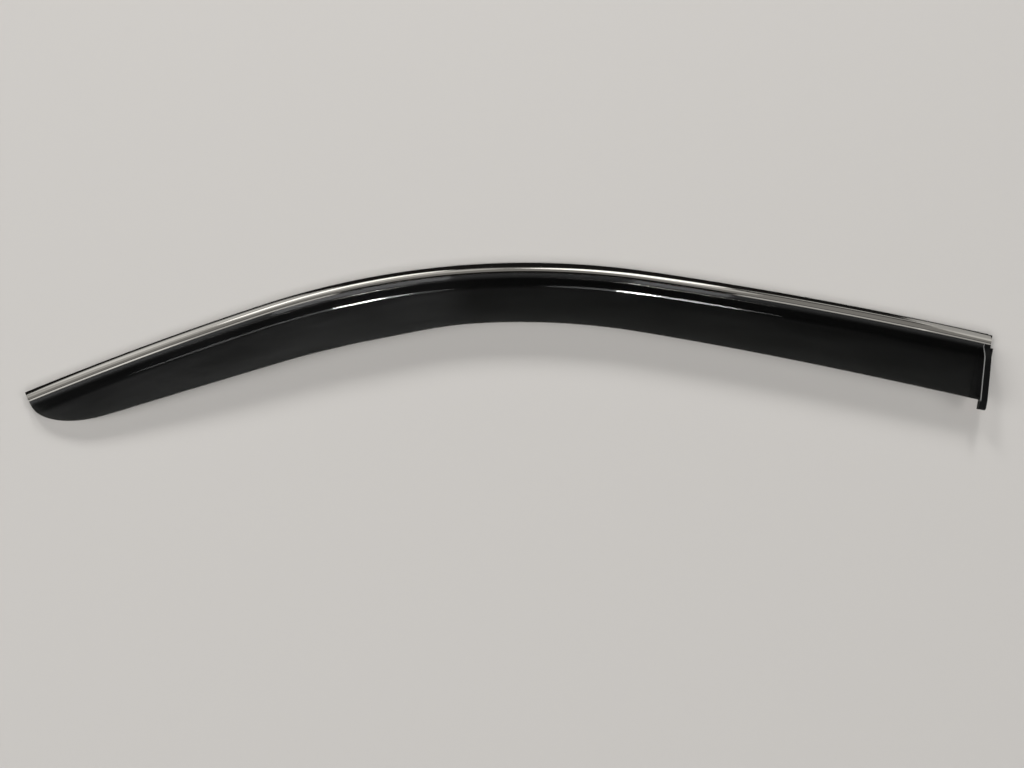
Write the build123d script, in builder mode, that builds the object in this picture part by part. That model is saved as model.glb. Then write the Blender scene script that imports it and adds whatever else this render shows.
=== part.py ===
from build123d import *
from math import cos, degrees, sin
import os

# Window rain deflector for a front door, in millimetres: a smoked blade that stands off the window
# frame on a taped flange, with a bright trim strip along the flange and a black cap on the rear end.
# X runs along the frame to the rear, Y up the door and Z out of it. The origin is at the crest of
# the arch, midway across the mounting tape and on the back of its release film.

# Arch of the upper edge, measured both ways from the crest
bend_radius = 890.0
bend_front_length = 284.0
bend_rear_length = 129.0
pillar_radius = 3800.0
pillar_length = 262.0
roof_radius = 4800.0
roof_length = 366.0

# Blade section
sheet = 2.5
flange_width = 14.0
riser_run = 10.5
shoulder_rise = 9.5
edge_rise = 20.5
root_radius = 0.5
shoulder_radius = 16.0
edge_radius = 0.5
fullest_edge = 0.45

# Blade width from the upper edge, at places measured along that edge from the front end
tip_width = 47.6
widest_width = 65.4
widest_place = 377.0
waist_width = 62.0
waist_place = 484.0
rear_width = 69.8
section_count = 29

# The sections turn towards the rear, so that the rear end is cut a little askew
skew_start = 700.0
end_skew = 2.3

# The section flattens towards the front end, and the front corner is rounded to a beak
tip_shoulder_rise = 4.0
tip_edge_rise = 7.0
full_rise_place = 332.0
beak_length = 75.0
beak_fullness = 0.55
beak_edge_radius = 0.4

# Bright trim strip: a crown with a small bead along its lower side, folded over the flange's edge
trim_sheet = 0.4
trim_leg = 1.8
crown_width = 8.6
crown_height = 1.8
crown_side = 1.0
groove_width = 0.4
groove_level = 0.7
bead_width = 1.5
bead_height = 0.8
bead_side = 0.65
trim_fold_radius = 0.15
trim_corner_radius = 7.0
trim_tape_inset = 1.2
trim_tape_width = 6.4
trim_tape_thickness = 0.6

# Mounting tape, cut in three lengths, and its release film
film = 0.15
tape = 1.05
tape_inset = 2.0
tape_width = 9.0
tape_end_gap = 6.0
tape_joint_gap = 4.0
front_tape_length = 330.0
rear_tape_length = 340.0

# End cap: a rim beside the blade's end, a ledge under it and a tail that hooks over its lower edge
rim_width = 7.5
rim_proud = 0.8
rim_edge_radius = 0.8
ledge_width = 5.0
tail_length = 10.0
tail_height = 8.0
tail_root = 2.0
tail_radius = 3.0
brow_radius = 3.0
cap_wall = 2.0
lug_width = 2.4
lug_height = 4.0
lug_length = 27.0
lug_taper = 8.0
pad_inset = 1.0

# Clearances
fold_clearance = 0.15
glue_gap = 0.2

# Levels and lengths that follow
flange_back = film + tape
flange_front = flange_back + sheet
flange_edge = trim_sheet + fold_clearance
trim_width = crown_width + groove_width + bead_width
crest_height = tape_inset + tape_width / 2
rail_length = pillar_length + bend_front_length + bend_rear_length + roof_length
blade_length = rail_length - rim_width
rail_end_length = 2 * trim_corner_radius
beyond = 2 * max(rear_width, widest_width)

# Upper edge of the whole part, seen from the front: three tangent arcs from the front end to the rear.
# The last of the roof's arc is a stretch of its own, so that the strip's rounded corner lies on short faces.
bend_turn = bend_front_length / bend_radius
front_turn = bend_turn + pillar_length / pillar_radius
front_x = -bend_radius * sin(bend_turn) - pillar_radius * (sin(front_turn) - sin(bend_turn))
front_drop = bend_radius * (1 - cos(bend_turn)) + pillar_radius * (cos(bend_turn) - cos(front_turn))
bend_length = bend_front_length + bend_rear_length
with BuildLine() as rail:
    pillar = JernArc(
        (front_x, crest_height - front_drop),
        (cos(front_turn), sin(front_turn)),
        pillar_radius,
        -degrees(pillar_length / pillar_radius),
    )
    bend = JernArc(pillar @ 1, pillar % 1, bend_radius, -degrees(bend_length / bend_radius))
    roof = JernArc(bend @ 1, bend % 1, roof_radius, -degrees((roof_length - rail_end_length) / roof_radius))
    JernArc(roof @ 1, roof % 1, roof_radius, -degrees(rail_end_length / roof_radius))
rail_path = rail.wire()


def rail_directions(place):
    """Point on the upper edge, and the directions along it and inwards, at a place from the front end."""
    point = rail_path.position_at(place / rail_length)
    along = rail_path.tangent_at(place / rail_length)
    return point, along, Vector(along.Y, -along.X, 0)


def section_plane(place):
    """Plane across the arch: x inwards from the upper edge, y out of the door, facing the front end."""
    point, along, inwards = rail_directions(place)
    skew = end_skew * max(0, place - skew_start) / (blade_length - skew_start)
    return Plane(origin=point, x_dir=inwards.rotate(Axis.Z, skew), z_dir=-along.rotate(Axis.Z, skew))


def plan_plane(place):
    """Plane on the door: x inwards from the upper edge, y along it to the rear."""
    point, _, inwards = rail_directions(place)
    return Plane(origin=point, x_dir=inwards, z_dir=(0, 0, 1))


def ease_out(share):
    return 1 - (1 - min(share, 1)) ** 2


def ease_both(share):
    return share * share * (3 - 2 * share)


def blade_width(place):
    if place < widest_place:
        return tip_width + (widest_width - tip_width) * ease_out(place / widest_place)
    if place < waist_place:
        share = (place - widest_place) / (waist_place - widest_place)
        return widest_width + (waist_width - widest_width) * ease_both(share)
    share = (place - waist_place) / (rail_length - waist_place)
    return waist_width + (rear_width - waist_width) * ease_both(share)


def front_points(place):
    """Corners of the blade's front line at a place: flange edge, riser foot, shoulder, lower edge."""
    share = ease_out(place / full_rise_place)
    shoulder = tip_shoulder_rise + (shoulder_rise - tip_shoulder_rise) * share
    edge = tip_edge_rise + (edge_rise - tip_edge_rise) * share
    return [
        (flange_edge, flange_front),
        (flange_width, flange_front),
        (flange_width + riser_run, flange_front + shoulder),
        (blade_width(place), flange_front + edge),
    ]


def lower_edge_plan(place):
    """Where the back corner of the lower edge stands at a place, on the plane of the door."""
    shoulder, edge = [Vector(*point) for point in front_points(place)[2:]]
    face = edge - shoulder
    corner = (edge.X + sheet * face.Y / face.length, 0)
    return plan_plane(0).to_local_coords(section_plane(place).from_local_coords(corner))


def finish(piece, name):
    piece.part.label = name
    export_step(piece.part, f"parts/{name}.step")


os.makedirs("parts", exist_ok=True)

# Smoked blade, lofted through sections across the arch, with the front corner cut to a beak: a curve
# that leaves the flange squarely and runs into the lower edge
beak_end = lower_edge_plan(beak_length)
edge_heading = (lower_edge_plan(beak_length + 1) - beak_end).normalized()
with BuildPart() as visor_blade:
    for step in range(section_count):
        place = blade_length * step / (section_count - 1)
        with BuildSketch(section_plane(place)) as section:
            with BuildLine():
                FilletPolyline(*front_points(place), radius=[root_radius, shoulder_radius])
                offset(amount=sheet, side=Side.RIGHT)
            make_face()
            lower_corners = section.vertices().sort_by(Axis.X)[-2:]
            fillet(lower_corners, min(edge_radius, fullest_edge * sheet))
    loft()
    with BuildSketch(plan_plane(0)):
        with BuildLine():
            beak = Bezier(
                (trim_width, 0),
                (trim_width + beak_fullness * (beak_end.X - trim_width), 0),
                beak_end - edge_heading * beak_fullness * beak_end.Y,
                beak_end,
            )
            Polyline(beak @ 1, (beyond, beak_end.Y), (beyond, -beyond), (trim_width, -beyond), beak @ 0)
        make_face()
    extrude(amount=beyond, mode=Mode.SUBTRACT)
    beak_wall = visor_blade.faces().filter_by(GeomType.EXTRUSION).sort_by(SortBy.AREA)[-1]
    fillet(beak_wall.edges().sort_by(SortBy.LENGTH)[-2:], beak_edge_radius)
finish(visor_blade, "visor_blade")

# Trim strip, swept along the upper edge, with its rear corner rounded
crown_start = (0, flange_front + crown_side)
crown_top = (crown_width / 2, flange_front + crown_height)
crown_end = (crown_width, flange_front + crown_side)
bead_start = (crown_width + groove_width, flange_front + groove_level)
bead_top = (trim_width - bead_width / 2, flange_front + bead_height)
bead_end = (trim_width, flange_front + bead_side)
with BuildPart() as trim_strip:
    with BuildSketch(section_plane(0)) as trim_section:
        with BuildLine():
            ThreePointArc(crown_start, crown_top, crown_end)
            Line(crown_end, bead_start)
            ThreePointArc(bead_start, bead_top, bead_end)
            Line(bead_end, (trim_width, flange_front))
            offset(amount=trim_sheet, side=Side.RIGHT)
        make_face()
        with Locations((0, flange_front - trim_leg)):
            Rectangle(trim_sheet, trim_leg + crown_side, align=(Align.MIN, Align.MIN))
        fold_corner = trim_section.vertices().sort_by(Axis.X).sort_by_distance(crown_start)[0]
        fillet(fold_corner, trim_fold_radius)
    sweep(path=rail_path, clean=False)
    with BuildSketch(plan_plane(rail_length)):
        Rectangle(trim_corner_radius, trim_corner_radius, align=(Align.MIN, Align.MAX))
        with Locations((trim_corner_radius, -trim_corner_radius)):
            Circle(trim_corner_radius, mode=Mode.SUBTRACT)
    extrude(amount=beyond, mode=Mode.SUBTRACT, clean=False)
finish(trim_strip, "trim_strip")

# Tape under the trim strip's crown
with BuildPart() as trim_tape:
    with BuildSketch(section_plane(tape_end_gap)):
        with Locations((trim_tape_inset, flange_front)):
            Rectangle(trim_tape_width, trim_tape_thickness, align=(Align.MIN, Align.MIN))
    sweep(path=rail_path.trim(tape_end_gap / rail_length, 1 - tape_end_gap / rail_length))
finish(trim_tape, "trim_tape")

# Mounting tape on the flange's back in three lengths, each with its release film
front_tape_end = tape_end_gap + front_tape_length
rear_tape_end = blade_length - tape_end_gap
rear_tape_start = rear_tape_end - rear_tape_length
tape_spans = {
    "front": (tape_end_gap, front_tape_end),
    "crest": (front_tape_end + tape_joint_gap, rear_tape_start - tape_joint_gap),
    "rear": (rear_tape_start, rear_tape_end),
}
tape_layers = {"release_film": (0, film), "mounting_tape": (film, tape)}
for span_name, (start, end) in tape_spans.items():
    span_path = rail_path.trim(start / rail_length, end / rail_length)
    for layer_name, (level, thickness) in tape_layers.items():
        with BuildPart() as tape_piece:
            with BuildSketch(section_plane(start)):
                with Locations((tape_inset, level)):
                    Rectangle(tape_width, thickness, align=(Align.MIN, Align.MIN))
            sweep(path=span_path)
        finish(tape_piece, f"{span_name}_{layer_name}")

# End cap: the rim continues the blade's front line, and the ledge follows its back
end_plane = section_plane(blade_length)
end_plan = Plane(origin=end_plane.origin, x_dir=end_plane.x_dir, z_dir=(0, 0, 1))
end_width = blade_width(blade_length)
wall_end = end_width - tail_root
tail_end = end_width + tail_length
brow_level = flange_front + edge_rise + rim_proud
tail_level = brow_level - tail_height
with BuildPart() as end_cap:
    with BuildSketch(end_plane):
        with BuildLine():
            FilletPolyline(
                (flange_edge, flange_front),
                (flange_width, flange_front),
                (flange_width + riser_run, flange_front + shoulder_rise + rim_proud),
                (end_width, brow_level),
                (tail_end, brow_level),
                (tail_end, flange_back),
                radius=[root_radius, shoulder_radius, brow_radius, tail_radius],
            )
            Polyline((tail_end, flange_back), (flange_edge, flange_back), (flange_edge, flange_front))
        make_face()
    extrude(amount=-rim_width)
    rim_edges = end_cap.faces().filter_by(Axis(end_plane.origin, end_plane.z_dir)).edges()
    fillet(rim_edges.filter_by_position(Axis.Z, flange_front, beyond, (False, True)), rim_edge_radius)
    with BuildSketch(end_plane):
        with BuildLine():
            front_line = FilletPolyline(
                *front_points(blade_length), radius=[root_radius, shoulder_radius], mode=Mode.PRIVATE
            )
            back_line = offset(front_line, amount=sheet + glue_gap, side=Side.RIGHT, closed=False)
            Polyline(back_line @ 1, (tail_end, -beyond), (flange_edge, -beyond), back_line @ 0)
        make_face()
        with Locations((0, flange_back)):
            Rectangle(wall_end, beyond, align=(Align.MIN, Align.MIN), mode=Mode.INTERSECT)
    extrude(amount=ledge_width)
    with BuildSketch(end_plane.offset(ledge_width - cap_wall)):
        with BuildLine():
            front_corners = Polyline(*front_points(blade_length), mode=Mode.PRIVATE)
            pocket_line = offset(
                front_corners,
                amount=sheet + glue_gap + cap_wall,
                kind=Kind.INTERSECTION,
                side=Side.RIGHT,
                closed=False,
            )
            Polyline(
                pocket_line @ 1,
                ((pocket_line @ 1).X, -beyond),
                ((pocket_line @ 0).X, -beyond),
                pocket_line @ 0,
            )
        make_face()
        with Locations((wall_end - cap_wall, 0)):
            Rectangle(beyond, 2 * beyond, align=(Align.MAX, Align.CENTER), mode=Mode.INTERSECT)
    extrude(amount=2 * cap_wall - ledge_width - rim_width, mode=Mode.SUBTRACT)
    with BuildSketch(end_plane):
        with Locations((wall_end, tail_level)):
            Rectangle(beyond, beyond, align=(Align.MIN, Align.MAX))
    extrude(amount=beyond, both=True, mode=Mode.SUBTRACT)
    with BuildSketch(end_plan.offset(flange_back)):
        with BuildLine():
            Polyline(
                (flange_width, rim_width),
                (flange_width, rim_width + lug_width),
                (flange_width + lug_length, rim_width + lug_width),
                (flange_width + lug_length + lug_taper, rim_width),
                close=True,
            )
        make_face()
    extrude(amount=lug_height)
finish(end_cap, "end_cap")

# Foam pad and its release film under the tail of the end cap
pad_length = tail_end - wall_end - 2 * pad_inset
pad_width = rim_width - 2 * pad_inset
pad_level = tail_level - tape
pad_layers = {"pad": (pad_level, tape), "pad_film": (pad_level - film, film)}
for layer_name, (level, thickness) in pad_layers.items():
    with BuildPart() as pad_piece:
        with BuildSketch(end_plan.offset(level)):
            with Locations((wall_end + pad_inset, pad_inset)):
                Rectangle(pad_length, pad_width, align=(Align.MIN, Align.MIN))
        extrude(amount=thickness)
    finish(pad_piece, f"cap_{layer_name}")
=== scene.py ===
import bmesh
import bpy
from math import cos, pi, radians, sin, tan
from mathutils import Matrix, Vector


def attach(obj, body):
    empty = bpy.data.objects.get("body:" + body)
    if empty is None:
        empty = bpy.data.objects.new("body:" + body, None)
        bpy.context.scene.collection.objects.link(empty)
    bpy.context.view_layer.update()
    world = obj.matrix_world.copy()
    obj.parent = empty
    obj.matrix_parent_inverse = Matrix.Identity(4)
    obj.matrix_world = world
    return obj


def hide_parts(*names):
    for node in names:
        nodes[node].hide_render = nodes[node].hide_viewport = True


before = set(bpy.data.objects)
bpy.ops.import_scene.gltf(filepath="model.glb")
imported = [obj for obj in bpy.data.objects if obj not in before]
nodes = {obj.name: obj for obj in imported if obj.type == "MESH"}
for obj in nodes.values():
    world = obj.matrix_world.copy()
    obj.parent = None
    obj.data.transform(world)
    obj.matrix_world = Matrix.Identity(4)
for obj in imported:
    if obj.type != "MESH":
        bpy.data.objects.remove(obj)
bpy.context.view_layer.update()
scene = bpy.context.scene
mm = 0.001
mergeGap = 0.002  # points nearer than this many mm become one

# The upper edge of the whole part is three tangent arcs, measured both ways from the crest (mm)
arch = {
    "bendRadius": 890, "bendFront": 284, "bendRear": 129,
    "pillarRadius": 3800, "pillarLength": 262,
    "roofRadius": 4800, "roofLength": 366,
    "crestHeight": 6.5,
    "flangeFront": 3.7,  # level of the flange's front face over the release film's back
    "rimWidth": 7.5,  # the end cap takes the last of the length
    "skewStart": 700, "endSkew": 2.3,  # blade sections turn so many degrees towards the rear end
}
railLength = arch["pillarLength"] + arch["bendFront"] + arch["bendRear"] + arch["roofLength"]
bladeLength = railLength - arch["rimWidth"]


def railAt(place):  # point on the upper edge and its heading, place measured from the front end
    run = place - arch["pillarLength"] - arch["bendFront"]
    onBend = min(max(run, -arch["bendFront"]), arch["bendRear"])
    past = run - onBend  # what is left lies on the pillar's or the roof's arc
    turn = -onBend / arch["bendRadius"]
    radius = arch["pillarRadius"] if past < 0 else arch["roofRadius"]
    heading = turn - past / radius
    x = -arch["bendRadius"] * sin(turn) + radius * (sin(turn) - sin(heading))
    y = arch["crestHeight"] - arch["bendRadius"] * (1 - cos(turn)) + radius * (cos(heading) - cos(turn))
    return Vector((x, y)), heading


def skewAt(place):
    return radians(arch["endSkew"]) * max(0, place - arch["skewStart"]) / (bladeLength - arch["skewStart"])


def setOut(spot, skewed):  # (place along, across, up) in mm becomes a point of the part in metres
    place, across, up = spot
    edge, heading = railAt(place)
    if skewed:
        heading += skewAt(place)
    return Vector((edge.x + across * sin(heading), edge.y - across * cos(heading), up)) * mm


def easeOut(share):
    return 1 - (1 - min(share, 1)) ** 2


def easeBoth(share):
    return share * share * (3 - 2 * share)


def blend(first, last, share):
    return first + (last - first) * share


def sweepBetween(centre, first, last, steps):  # points on the arc from one spoke to another
    turn = first.angle(last)
    points = []
    for step in range(steps + 1):
        share = step / steps
        points.append(centre + (first * sin((1 - share) * turn) + last * sin(share * turn)) / sin(turn))
    return points


def roundedLine(corners, radii, runs, steps):  # section line with rounded corners and a set count of rows
    line, start = [], corners[0]
    for before, corner, after, radius, run in zip(corners, corners[1:], corners[2:], radii, runs):
        back, ahead = (before - corner).normalized(), (after - corner).normalized()
        half = back.angle(ahead) / 2
        centre = corner + (back + ahead).normalized() * radius / sin(half)
        first, last = [corner + way * radius / tan(half) for way in (back, ahead)]
        line += [start.lerp(first, part / run) for part in range(run)]
        line += sweepBetween(centre, first - centre, last - centre, steps)[:-1]
        start = last
    return line + [start.lerp(corners[-1], part / runs[-1]) for part in range(runs[-1] + 1)]


def withNormals(line):  # each point with the mean of its neighbours' front normals
    ways = [(end - start).normalized() for start, end in zip(line, line[1:])]
    means = [(one + other).normalized() for one, other in zip(ways[:1] + ways, ways + ways[-1:])]
    return [(point, Vector((-way.y, way.x))) for point, way in zip(line, means)]


def rowAt(rows, across):  # point and normal where the section has come so far inwards
    for (start, before), (end, after) in zip(rows, rows[1:]):
        if start.x < across <= end.x:
            share = (across - start.x) / (end.x - start.x)
            return start.lerp(end, share), before.lerp(after, share).normalized()
    return rows[0]


def drawnPiece(name, loops, skewed, node, material, sharp):  # a section extruded from place to place
    bm = bmesh.new()
    runLayer = bm.verts.layers.float_vector.new("run")  # place along and across, for the materials
    verts = [bm.verts.new() for _ in loops[0]]
    edges = [bm.edges.new(pair) for pair in zip(verts, verts[1:] + verts[:1])]
    for index, loop in enumerate(loops):
        if index:
            made = bmesh.ops.extrude_edge_only(bm, edges=edges)["geom"]
            verts = [item for item in made if isinstance(item, bmesh.types.BMVert)]
            edges = [item for item in made if isinstance(item, bmesh.types.BMEdge)]
            fresh = set(verts)
            edges = [edge for edge in edges if fresh.issuperset(edge.verts)]
        for vert, spot in zip(verts, loop):
            vert.co = setOut(spot, skewed)
            vert[runLayer] = Vector((spot[0], spot[1], 0)) * mm
        if index in (0, len(loops) - 1):
            bmesh.ops.contextual_create(bm, geom=edges)
    bmesh.ops.remove_doubles(bm, verts=bm.verts, dist=mergeGap * mm)
    bmesh.ops.recalc_face_normals(bm, faces=bm.faces)
    mesh = bpy.data.meshes.new(name)
    bm.to_mesh(mesh)
    bm.free()
    mesh.polygons.foreach_set("use_smooth", [True] * len(mesh.polygons))
    mesh.set_sharp_from_angle(angle=radians(sharp))
    mesh.materials.append(material)
    piece = bpy.data.objects.new(name, mesh)
    scene.collection.objects.link(piece)
    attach(piece, "root")
    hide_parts(node)
    print(name, len(mesh.polygons), "faces")
    return piece


# Materials
noiseSpan = (0.3, 0.7)  # noise stays about the middle
mixA, mixB, mixOut = 6, 7, 2  # a Mix node's colour sockets


def hexColour(code):  # sRGB hex to linear
    values = [int(code[i:i + 2], 16) / 255 for i in (1, 3, 5)]
    return [v / 12.92 if v <= 0.04045 else ((v + 0.055) / 1.055) ** 2.4 for v in values] + [1]


def inMetres(sizes):
    return [size * mm for size in sizes]


def addNode(tree, kind, inputs={}, **settings):  # an input is a fixed value or another node's output
    node = tree.nodes.new("ShaderNode" + kind)
    for key, value in settings.items():
        setattr(node, key, value)
    for key, value in inputs.items():
        if isinstance(value, bpy.types.NodeSocket):
            tree.links.new(value, node.inputs[key])
        else:
            node.inputs[key].default_value = value
    return node


def fitting(source, ends, values):  # inputs that take one range of values to another
    (low, high), (first, last) = ends, values
    return {"Value": source, "From Min": low, "From Max": high, "To Min": first, "To Max": last}


def startMaterial(name):
    material = bpy.data.materials.new(name)
    material.use_nodes = True
    material.node_tree.nodes.clear()
    return material, material.node_tree


def grains(tree, source, sizes):  # patterns with grains of so many mm along and across, and their detail
    patterns = []
    for along, across, detail in sizes:
        scale = [1 / size for size in inMetres((along, across, across))]
        scaled = addNode(tree, "VectorMath", {0: source, 1: scale}, operation="MULTIPLY").outputs[0]
        noise = addNode(tree, "TexNoise", {"Vector": scaled, "Scale": 1, "Detail": detail})
        patterns.append(noise.outputs[0])
    return patterns


# PMMA, smoke tinted and moulded: mirror gloss over a nearly black grey-green depth, with long faint flow
# waves, a thin haze, and painted light laid into the haze: a lighter front part, a darker riser and a light
# band by the strip
smokeForm = {
    "body": "#ffffff", "tint": "#2a3a33", "density": 1250, "ior": 1.49, "polish": (0.012, 0.05),
    "hazeGrain": (90, 12, 3), "smear": (45, 20, 3), "flow": (220, 60, 1), "flowDepth": 0.012,
    # painted reflection: the haze is so many times thicker over the front part, lightening the face there
    "hazeAndPaintedLight": (0.0035, 0.0068), "frontLighteningEnds": (450, 490), "frontLightening": 2.5,
    "riserShade": 0.35, "faceFrom": (25, 28),  # painted shade: the riser keeps less haze than the face, so it renders darker
    # painted light: extra haze on the flange beside the strip, fading out towards the riser
    "flangeLight": 0.034, "flangeLightTo": (10.5, 16.5),
}
smokedAcrylic, tree = startMaterial("pmmaSmokedMoulded")
run = addNode(tree, "Attribute", attribute_name="run").outputs["Vector"]
along, across, _ = addNode(tree, "SeparateXYZ", {"Vector": run}).outputs
hazeGrain, smear, flow = grains(tree, run, [smokeForm[key] for key in ("hazeGrain", "smear", "flow")])
hazeAndPaintedLight = addNode(tree, "MapRange", fitting(hazeGrain, noiseSpan, smokeForm["hazeAndPaintedLight"])).outputs[0]
# painted reflection, painted shade and painted light, laid onto the haze
paintedLightChanges = (
    ("MULTIPLY", along, smokeForm["frontLighteningEnds"], (smokeForm["frontLightening"], 1)),
    ("MULTIPLY", across, smokeForm["faceFrom"], (smokeForm["riserShade"], 1)),
    ("ADD", across, smokeForm["flangeLightTo"], (smokeForm["flangeLight"], 0)),
)
for operation, source, ends, values in paintedLightChanges:
    change = addNode(tree, "MapRange", fitting(source, inMetres(ends), values)).outputs[0]
    hazeAndPaintedLight = addNode(tree, "Math", {0: hazeAndPaintedLight, 1: change}, operation=operation).outputs[0]
clear = addNode(tree, "Math", {0: 1, 1: hazeAndPaintedLight}, operation="SUBTRACT").outputs[0]
polish = addNode(tree, "MapRange", fitting(smear, noiseSpan, smokeForm["polish"])).outputs[0]
waves = addNode(tree, "Bump", {
    "Strength": 1, "Distance": smokeForm["flowDepth"] * mm, "Height": flow,
}).outputs[0]
shader = addNode(tree, "BsdfPrincipled", {
    "Base Color": hexColour(smokeForm["body"]), "IOR": smokeForm["ior"],
    "Transmission Weight": clear, "Roughness": polish, "Normal": waves,
})
depth = addNode(tree, "VolumeAbsorption", {
    "Color": hexColour(smokeForm["tint"]), "Density": smokeForm["density"],
})
addNode(tree, "OutputMaterial", {"Surface": shader.outputs[0], "Volume": depth.outputs[0]})

# Stainless strip, mirror rolled: bright and slightly warm, with fine polish lines, a long waviness along it
# and painted shade, a near-black colour, in the groove over its lip
brightForm = {
    "colours": ("#d5d2cb", "#cdc9c1"), "polish": (0.04, 0.075),
    "lines": (70, 0.5, 2),  # rolling lines are finer, but would be lost at the picture's scale
    "wave": (55, 25, 1), "waveDepth": 0.02,
    # painted shade: the groove is coloured near black
    "groove": (8.8, 0.22), "grooveShade": "#1c1b19",  # middle of the groove and its reach to each side
}
brightStainless, tree = startMaterial("stainlessMirrorRolled")
run = addNode(tree, "Attribute", attribute_name="run").outputs["Vector"]
across = addNode(tree, "SeparateXYZ", {"Vector": run}).outputs["Y"]
lines, wave = grains(tree, run, [brightForm["lines"], brightForm["wave"]])
middle, reach = inMetres(brightForm["groove"])
# where the painted shade in the groove goes
inGroove = addNode(tree, "Math", {0: across, 1: middle, 2: reach}, operation="COMPARE").outputs[0]
pale, dull, grooveShade = [hexColour(code) for code in (*brightForm["colours"], brightForm["grooveShade"])]
metal = addNode(tree, "Mix", {0: lines, mixA: pale, mixB: dull}, data_type="RGBA").outputs[mixOut]
colour = addNode(tree, "Mix", {0: inGroove, mixA: metal, mixB: grooveShade}, data_type="RGBA").outputs[mixOut]
polish = addNode(tree, "MapRange", fitting(lines, noiseSpan, brightForm["polish"])).outputs[0]
waves = addNode(tree, "Bump", {
    "Strength": 1, "Distance": brightForm["waveDepth"] * mm, "Height": wave,
}).outputs[0]
shader = addNode(tree, "BsdfPrincipled", {
    "Metallic": 1, "Base Color": colour, "Roughness": polish, "Normal": waves,
})
addNode(tree, "OutputMaterial", {"Surface": shader.outputs[0]})

# ABS, moulded with a satin grain: soft faint sheen on black, with a painted highlight, a pale line where it
# meets the blade
blackForm = {
    "colours": ("#030303", "#070707"), "polish": (0.42, 0.55), "sheen": 0.12,
    # painted highlight: a pale line along the cap's edge beside the blade
    "paintedHighlight": "#8a8a88", "highlightWidth": (0.6, 0.9), "highlightTo": (69, 72),
    "grain": (1.2, 1.2, 2), "grainDepth": 0.03,  # a moulded grain is about 0.3 mm, coarsened so that it shows
}
blackMoulding, tree = startMaterial("absMouldedSatin")
local = addNode(tree, "TexCoord").outputs["Object"]
fine, = grains(tree, local, [blackForm["grain"]])
endEdge, endHeading = railAt(bladeLength)
endHeading += skewAt(bladeLength)
endPoint = (*(endEdge * mm), 0)
onward = (cos(endHeading), sin(endHeading), 0)
inward = (sin(endHeading), -cos(endHeading), 0)
fromEnd = addNode(tree, "VectorMath", {0: local, 1: endPoint}, operation="SUBTRACT").outputs[0]
shares = []
for way, ends in ((onward, blackForm["highlightWidth"]), (inward, blackForm["highlightTo"])):
    distance = addNode(tree, "VectorMath", {0: fromEnd, 1: way}, operation="DOT_PRODUCT").outputs["Value"]
    shares.append(addNode(tree, "MapRange", fitting(distance, inMetres(ends), (1, 0))).outputs[0])
# mask of the painted highlight
paintedHighlight = addNode(tree, "Math", {0: shares[0], 1: shares[1]}, operation="MULTIPLY").outputs[0]
deep, dark, highlightColour = [hexColour(code) for code in (*blackForm["colours"], blackForm["paintedHighlight"])]
black = addNode(tree, "Mix", {0: fine, mixA: deep, mixB: dark}, data_type="RGBA").outputs[mixOut]
colour = addNode(tree, "Mix", {0: paintedHighlight, mixA: black, mixB: highlightColour}, data_type="RGBA").outputs[mixOut]
polish = addNode(tree, "MapRange", fitting(fine, noiseSpan, blackForm["polish"])).outputs[0]
pits = addNode(tree, "Bump", {
    "Strength": 1, "Distance": blackForm["grainDepth"] * mm, "Height": fine,
}).outputs[0]
shader = addNode(tree, "BsdfPrincipled", {
    "Specular IOR Level": blackForm["sheen"], "Base Color": colour, "Roughness": polish, "Normal": pits,
})
addNode(tree, "OutputMaterial", {"Surface": shader.outputs[0]})

# Acrylic foam tape, closed cells: dull dark grey, finely pitted
foamForm = {"colours": ("#4a4a4c", "#69696b"), "roughness": 0.9, "cell": 1.0, "cellDepth": 0.15}
foamTape, tree = startMaterial("acrylicFoamClosedCell")
local = addNode(tree, "TexCoord").outputs["Object"]
cells = addNode(tree, "TexVoronoi", {
    "Vector": local, "Scale": 1 / (foamForm["cell"] * mm),
}).outputs["Distance"]
dark, light = [hexColour(code) for code in foamForm["colours"]]
colour = addNode(tree, "Mix", {0: cells, mixA: dark, mixB: light}, data_type="RGBA").outputs[mixOut]
pits = addNode(tree, "Bump", {
    "Strength": 1, "Distance": foamForm["cellDepth"] * mm, "Height": cells,
}).outputs[0]
shader = addNode(tree, "BsdfPrincipled", {
    "Base Color": colour, "Roughness": foamForm["roughness"], "Normal": pits,
})
addNode(tree, "OutputMaterial", {"Surface": shader.outputs[0]})

# Polyester release film: red and shiny, with slight wrinkles
filmForm = {
    "colours": ("#a82024", "#bd3034"), "polish": (0.18, 0.32), "wrinkle": (9, 14, 2), "wrinkleDepth": 0.12,
}
redFilm, tree = startMaterial("polyesterCastRelease")
local = addNode(tree, "TexCoord").outputs["Object"]
wrinkle, = grains(tree, local, [filmForm["wrinkle"]])
dark, light = [hexColour(code) for code in filmForm["colours"]]
colour = addNode(tree, "Mix", {0: wrinkle, mixA: dark, mixB: light}, data_type="RGBA").outputs[mixOut]
polish = addNode(tree, "MapRange", fitting(wrinkle, noiseSpan, filmForm["polish"])).outputs[0]
folds = addNode(tree, "Bump", {
    "Strength": 1, "Distance": filmForm["wrinkleDepth"] * mm, "Height": wrinkle,
}).outputs[0]
shader = addNode(tree, "BsdfPrincipled", {"Base Color": colour, "Roughness": polish, "Normal": folds})
addNode(tree, "OutputMaterial", {"Surface": shader.outputs[0]})
print("materials done")

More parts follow.
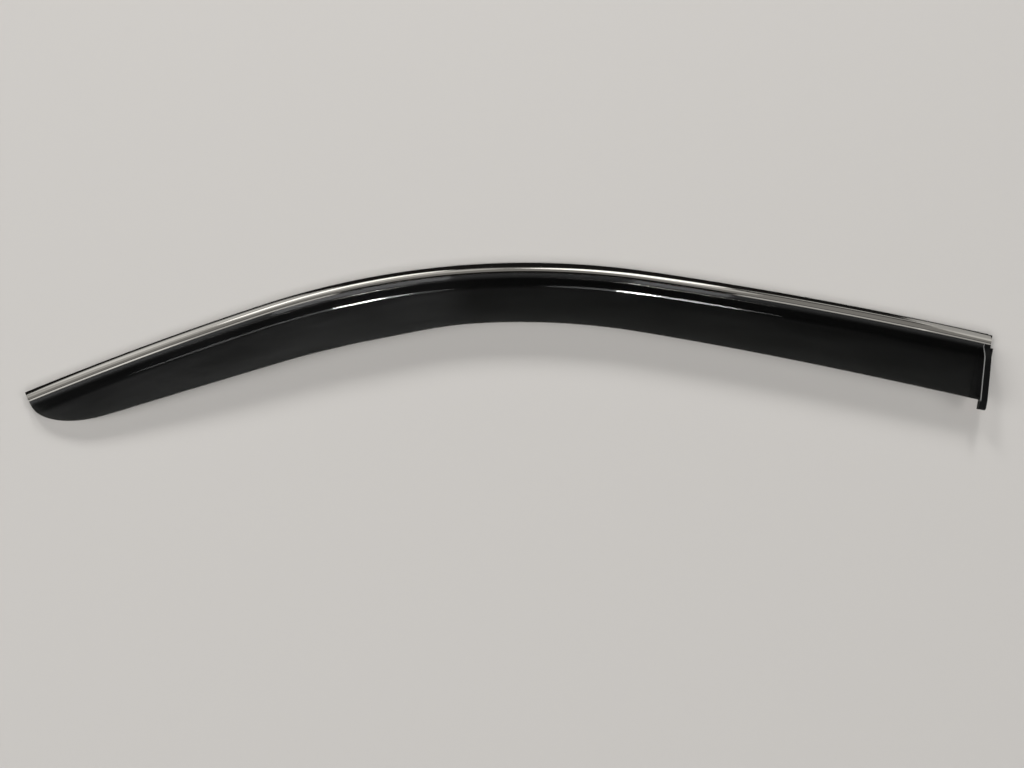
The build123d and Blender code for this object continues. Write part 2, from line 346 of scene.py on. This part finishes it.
# Smoked blade: flat flange, steep riser, shoulder and broad face (mm)
blade = {
    "sheet": 2.5, "flangeEdge": 0.55, "flangeWidth": 14, "riserRun": 10.5,
    "shoulderRise": 9.5, "edgeRise": 20.5, "shoulderRadius": 16, "edgeRadius": 0.08,
    "tipWidth": 47.6, "widestWidth": 65.4, "widestPlace": 377,
    "waistWidth": 62, "waistPlace": 484, "rearWidth": 69.8,
    "tipShoulderRise": 4, "tipEdgeRise": 7, "fullRisePlace": 332,
    "beakStart": 10.5, "beakLength": 75, "beakFullness": 0.55, "beakSteps": 40,
    "runs": (6, 4, 18), "roundSteps": 10, "edgeSteps": 4, "stationLength": 6, "sharpAngle": 15,
}


def bladeWidth(place):
    if place < blade["widestPlace"]:
        return blend(blade["tipWidth"], blade["widestWidth"], easeOut(place / blade["widestPlace"]))
    if place < blade["waistPlace"]:
        share = (place - blade["widestPlace"]) / (blade["waistPlace"] - blade["widestPlace"])
        return blend(blade["widestWidth"], blade["waistWidth"], easeBoth(share))
    share = (place - blade["waistPlace"]) / (railLength - blade["waistPlace"])
    return blend(blade["waistWidth"], blade["rearWidth"], easeBoth(share))


def bladeRows(place):  # front line of the section up to the rounding of its lower edge
    share = easeOut(place / blade["fullRisePlace"])
    shoulder = blend(blade["tipShoulderRise"], blade["shoulderRise"], share)
    edge = blend(blade["tipEdgeRise"], blade["edgeRise"], share)
    level = arch["flangeFront"]
    start, root, crease, end = [Vector(pair) for pair in (
        (blade["flangeEdge"], level), (blade["flangeWidth"], level),
        (blade["flangeWidth"] + blade["riserRun"], level + shoulder), (bladeWidth(place), level + edge),
    )]
    end += (crease - end).normalized() * blade["edgeRadius"]
    flangeRows, *faceRows = blade["runs"]
    flange = [start.lerp(root, row / flangeRows) for row in range(flangeRows)]
    face = roundedLine([root, crease, end], [blade["shoulderRadius"]], faceRows, blade["roundSteps"])
    return withNormals(flange + face)


def bladeLoop(place, rows, outward, radius):  # closed section: front rows, edge rounded outward, back rows
    sheet, (end, normal) = blade["sheet"], rows[-1]
    start = Vector((place, *end))
    down = Vector((0, -normal.x, -normal.y))
    out = Vector((outward.y, outward.x, -outward.x * normal.x / normal.y)).normalized()
    turns = [radians(90 * step / blade["edgeSteps"]) for step in range(1, blade["edgeSteps"] + 1)]
    rim = [start + out * radius * sin(turn) + down * radius * (1 - cos(turn)) for turn in turns]
    for turn in [0] + turns[:-1]:
        rim.append(start + out * radius * cos(turn) + down * (sheet - radius + radius * sin(turn)))
    front = [(place, *point) for point, _ in rows]
    back = [(place, *(point - normal * sheet)) for point, normal in reversed(rows)]
    return front + rim + back


def clipRows(rows, across):  # rows past the beak's curve gather on it
    last = rowAt(rows, across)
    return [row if row[0].x < across else last for row in rows]


beakEnd = Vector((bladeWidth(blade["beakLength"]), blade["beakLength"]))
beakHeading = Vector((bladeWidth(blade["beakLength"] + 1) - beakEnd.x, 1)).normalized()
beakFirst = Vector((blade["beakStart"], 0))
beakPulls = [
    beakFirst,
    beakFirst + Vector((blade["beakFullness"] * (beakEnd.x - beakFirst.x), 0)),  # leaves the flange squarely
    beakEnd - beakHeading * blade["beakFullness"] * beakEnd.y,  # and runs into the lower edge
    beakEnd,
]


def beakAt(share):  # point on the beak's curve (across, place) and the direction out of the blade there
    left = 1 - share
    a, b, c, d = beakPulls
    point = a * left ** 3 + b * 3 * left * left * share + c * 3 * left * share * share + d * share ** 3
    way = ((b - a) * left * left + (c - b) * 2 * left * share + (d - c) * share * share).normalized()
    return point, Vector((way.y, -way.x))


inwards = Vector((1, 0))
edgeRadius = blade["edgeRadius"]
bladeLoops = [bladeLoop(0, clipRows(bladeRows(0), blade["beakStart"]), inwards, 0)]
for step in range(blade["beakSteps"]):
    point, outward = beakAt(step / blade["beakSteps"])
    across, place = point - outward * edgeRadius
    bladeLoops.append(bladeLoop(place, clipRows(bladeRows(place), across), outward, edgeRadius))
stationCount = round((bladeLength - blade["beakLength"]) / blade["stationLength"])
for step in range(stationCount + 1):
    place = blade["beakLength"] + (bladeLength - blade["beakLength"]) * step / stationCount
    bladeLoops.append(bladeLoop(place, bladeRows(place), inwards, edgeRadius))
drawnPiece(
    "smokedBlade", bladeLoops, True, "visor_blade", smokedAcrylic, blade["sharpAngle"])

# Bright trim strip: a shallow crown, a narrow lip along its lower side and a leg over the flange's edge (mm)
trim = {
    "sheet": 0.4, "leg": 1.8, "crownWidth": 8.6, "crownHeight": 1.8, "crownSide": 1, "grooveWidth": 0.4,
    "lipWidth": 1.5, "lipStart": 0.6, "lipMiddle": 0.641, "lipSide": 0.68,  # the lip leans a little
    "cornerRadius": 7, "crownSteps": 20, "lipSteps": 10, "legRows": 3, "cornerSteps": 12,
    "stationLength": 6, "sharpAngle": 12,
}


def arcThrough(start, top, end, steps):
    d = 2 * (start.x * (top.y - end.y) + top.x * (end.y - start.y) + end.x * (start.y - top.y))
    a, b, c = start.dot(start), top.dot(top), end.dot(end)
    centre = Vector((
        (a * (top.y - end.y) + b * (end.y - start.y) + c * (start.y - top.y)) / d,
        (a * (end.x - top.x) + b * (start.x - end.x) + c * (top.x - start.x)) / d,
    ))
    return sweepBetween(centre, start - centre, end - centre, steps)


lipEdge = trim["crownWidth"] + trim["grooveWidth"]
trimWidth = lipEdge + trim["lipWidth"]
crown = arcThrough(
    Vector((0, trim["crownSide"])), Vector((trim["crownWidth"] / 2, trim["crownHeight"])),
    Vector((trim["crownWidth"], trim["crownSide"])), trim["crownSteps"])
lip = arcThrough(
    Vector((lipEdge, trim["lipStart"])), Vector((trimWidth - trim["lipWidth"] / 2, trim["lipMiddle"])),
    Vector((trimWidth, trim["lipSide"])), trim["lipSteps"])
leg = [Vector((0, -trim["leg"])).lerp(crown[0], row / trim["legRows"]) for row in range(trim["legRows"])]
trimRows = withNormals(leg + crown + lip + [Vector((trimWidth, 0))])


def trimLoop(place, start):  # closed section: outer rows from the leg to the lip, then inner rows back
    first = rowAt(trimRows, start)
    rows = [row if row[0].x > start else first for row in trimRows] if start else trimRows
    outer = [point for point, _ in rows]
    inner = [point - normal * trim["sheet"] for point, normal in reversed(rows)]
    return [(place, point.x, point.y + arch["flangeFront"]) for point in outer + inner]


straightEnd = railLength - trim["cornerRadius"]
stationCount = round(straightEnd / trim["stationLength"])
trimLoops = [trimLoop(straightEnd * step / stationCount, 0) for step in range(stationCount + 1)]
for step in range(1, trim["cornerSteps"] + 1):
    turn = radians(90 * step / trim["cornerSteps"])
    place = straightEnd + trim["cornerRadius"] * sin(turn)
    trimLoops.append(trimLoop(place, trim["cornerRadius"] * (1 - cos(turn))))
brightTrim = drawnPiece(
    "brightTrim", trimLoops, False, "trim_strip", brightStainless, trim["sharpAngle"])

# Tapes, films, pads and the end cap keep their CAD shapes
nodeFinish = {
    "trim_tape": foamTape, "cap_pad": foamTape, "cap_pad_film": redFilm, "end_cap": blackMoulding,
    "front_mounting_tape": foamTape, "crest_mounting_tape": foamTape, "rear_mounting_tape": foamTape,
    "front_release_film": redFilm, "crest_release_film": redFilm, "rear_release_film": redFilm,
}
for nodeName, material in nodeFinish.items():
    nodes[nodeName].data.materials.clear()
    nodes[nodeName].data.materials.append(material)
print("node finishes done")

# Pale floor, a hair under the part (m)
floorForm = {"colour": "#c8c5c1", "size": 12, "level": -0.0002, "roughness": 0.6, "ior": 1.3}
paleFloor, tree = startMaterial("laminatePaleMatt")
shader = addNode(tree, "BsdfPrincipled", {
    "Base Color": hexColour(floorForm["colour"]),
    "Roughness": floorForm["roughness"], "IOR": floorForm["ior"],
})
addNode(tree, "OutputMaterial", {"Surface": shader.outputs[0]})
bm = bmesh.new()
bmesh.ops.create_grid(bm, x_segments=1, y_segments=1, size=floorForm["size"] / 2)
bmesh.ops.translate(bm, verts=bm.verts, vec=(0, 0, floorForm["level"]))
floorMesh = bpy.data.meshes.new("floor")
bm.to_mesh(floorMesh)
bm.free()
floorMesh.materials.append(paleFloor)
floor = bpy.data.objects.new("floor", floorMesh)
scene.collection.objects.link(floor)

# Studio: two soft boxes behind the arch with glows and halos about them, boxes at the sides and in front,
# dim panels overhead, and cards that light the strip only. A lamp without an aim faces straight down
lamps = {
    "boxLeft": {"at": (-1.0, 2.54, 1.52), "aim": (-0.19, -0.04, 0), "size": (0.34, 0.8), "radiance": 34},
    "boxRight": {"at": (0.7, 2.58, 1.52), "aim": (0.135, -0.03, 0), "size": (0.24, 0.8), "radiance": 46},
    "glowLeft": {"at": (-0.86, 2.57, 1.53), "aim": (-0.19, -0.04, 0), "size": (0.42, 0.8), "radiance": 6},
    "glowRight": {"at": (0.9, 2.61, 1.53), "aim": (0.135, -0.03, 0), "size": (0.5, 0.8), "radiance": 9},
    "haloLeft": {"at": (-1.0, 2.6, 1.54), "aim": (-0.19, -0.04, 0), "size": (1.2, 0.9), "radiance": 1.2},
    "haloRight": {"at": (0.71, 2.64, 1.54), "aim": (0.135, -0.03, 0), "size": (1.2, 0.9), "radiance": 1.5},
    "haloFar": {"at": (-1.95, 2.62, 1.46), "aim": (-0.35, -0.08, 0), "size": (0.9, 0.8), "radiance": 1.2},
    "sideLeft": {"at": (-3.2, -0.6, 2.4), "aim": (0, -0.1, 0), "size": (2, 2), "radiance": 5.8},
    "sideRight": {"at": (3.2, -0.6, 2.4), "aim": (0, -0.1, 0), "size": (2, 2), "radiance": 4.7},
    "front": {"at": (0, -2.6, 1.7), "aim": (0, -0.1, 0), "size": (2.4, 1), "radiance": 4},
    "panelLeft": {"at": (-0.4, 0, 1.9), "size": (0.36, 0.66), "turn": -35, "radiance": 1.6},
    "panelRight": {"at": (0.265, -0.13, 1.9), "size": (0.28, 0.84), "turn": -30, "radiance": 1.6},
    "dimLeft": {"at": (-0.27, -0.33, 1.93), "size": (0.5, 0.8), "radiance": 0.35},
    "dimRight": {"at": (0.25, -0.35, 1.93), "size": (0.5, 0.8), "radiance": 0.35},
    "ceilingLeft": {"at": (-1.1, -0.35, 1.96), "size": (1.3, 1.1), "radiance": 0.25},
    "cardLeft": {"at": (-1.08, 0.65, 1.94), "size": (0.75, 1.1), "radiance": 0.2, "only": brightTrim},
    "cardNear": {"at": (-0.9, 0.28, 1.88), "size": (0.84, 0.94), "radiance": 0.5, "only": brightTrim},
    "cardLow": {"at": (0.8, 0.27, 1.88), "size": (0.5, 0.26), "radiance": 0.5, "only": brightTrim},
    "cardRight": {
        "at": (1.22, 0.28, 1.91), "size": (0.4, 2.2), "turn": -11, "radiance": 0.42, "only": brightTrim,
    },
}
for lampName, form in lamps.items():
    light = bpy.data.lights.new(lampName, "AREA")
    light.shape = "ELLIPSE"
    light.size, light.size_y = form["size"]
    light.energy = form["radiance"] * pi * pi / 4 * form["size"][0] * form["size"][1]
    lamp = bpy.data.objects.new(lampName, light)
    lamp.location = form["at"]
    aim = form.get("aim", (*form["at"][:2], 0))
    lamp.rotation_euler = (Vector(aim) - Vector(form["at"])).to_track_quat("-Z", "Y").to_euler()
    lamp.rotation_euler.rotate_axis("Z", radians(form.get("turn", 0)))
    lamp.visible_camera = False
    if "only" in form:
        lit = bpy.data.collections.new(lampName)
        lit.objects.link(form["only"])
        lamp.light_linking.receiver_collection = lit
    scene.collection.objects.link(lamp)

# Grey room, dark behind the arch
room = {"light": 0.25, "dark": 0.012, "darkFrom": -0.14, "darkTo": 0.08, "tone": "#fffdfb"}
world = bpy.data.worlds.new("greyRoom")
world.use_nodes = True
tree = world.node_tree
tree.nodes.clear()
direction = addNode(tree, "TexCoord").outputs["Generated"]
towards = addNode(tree, "SeparateXYZ", {"Vector": direction}).outputs["Y"]
dimming = fitting(towards, (room["darkFrom"], room["darkTo"]), (room["light"], room["dark"]))
strength = addNode(tree, "MapRange", dimming, interpolation_type="SMOOTHSTEP").outputs[0]
backing = addNode(tree, "Background", {"Color": hexColour(room["tone"]), "Strength": strength})
addNode(tree, "OutputWorld", {"Surface": backing.outputs[0]})
scene.world = world
scene.view_settings.view_transform = "Standard"

# Camera straight above
lens = {"at": (-0.0152, -0.1204, 1.5), "viewWidth": 1.0752, "sensor": 36}
cameraData = bpy.data.cameras.new("camera")
cameraData.sensor_width = lens["sensor"]
cameraData.lens = lens["sensor"] * lens["at"][2] / lens["viewWidth"]
camera = bpy.data.objects.new("camera", cameraData)
camera.location = lens["at"]
scene.collection.objects.link(camera)
scene.camera = camera
print("stage done")
